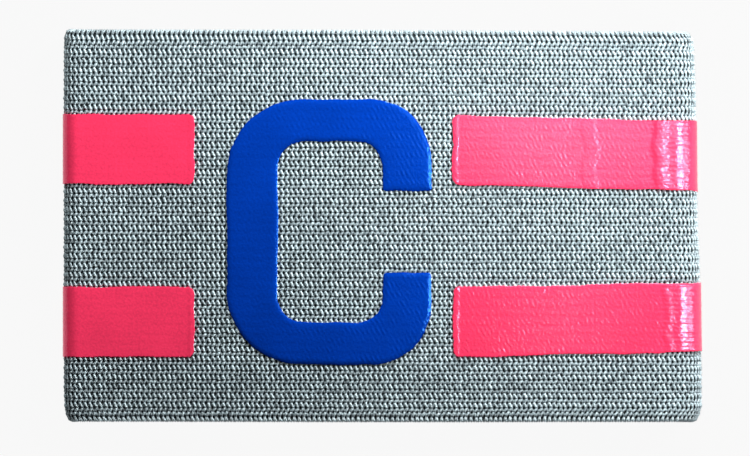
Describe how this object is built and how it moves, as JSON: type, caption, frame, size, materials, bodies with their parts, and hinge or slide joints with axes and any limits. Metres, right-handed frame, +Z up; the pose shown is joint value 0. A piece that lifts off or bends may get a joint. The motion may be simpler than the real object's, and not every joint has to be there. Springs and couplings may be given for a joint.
{
  "type": "captain armband",
  "caption": "Loop of ribbed knitted elastic lying flattened, with film stripes and a block letter C on its face, worn on the upper arm by a team's captain.",
  "frame": {"origin": "on the surface that the band lies on, under the middle of the whole armband", "axes": "+X along the folded loop towards its rounder fold, +Y across the band towards the letter's top, +Z up out of the lettered face"},
  "size_m": [0.115, 0.07, 0.0126],
  "materials": {
    "knit": "ribbed knitted elastic, mixed light and dark grey yarns",
    "letter_film": "satin blue heat-applied film",
    "stripe_film": "satin coral pink heat-applied film"
  },
  "bodies": {
    "root": {"elastic_band": "knit", "letter_c": "letter_film", "stripe_left_upper": "stripe_film", "stripe_left_lower": "stripe_film", "stripe_right_upper": "stripe_film", "stripe_right_lower": "stripe_film"}
  },
  "joints": []
}
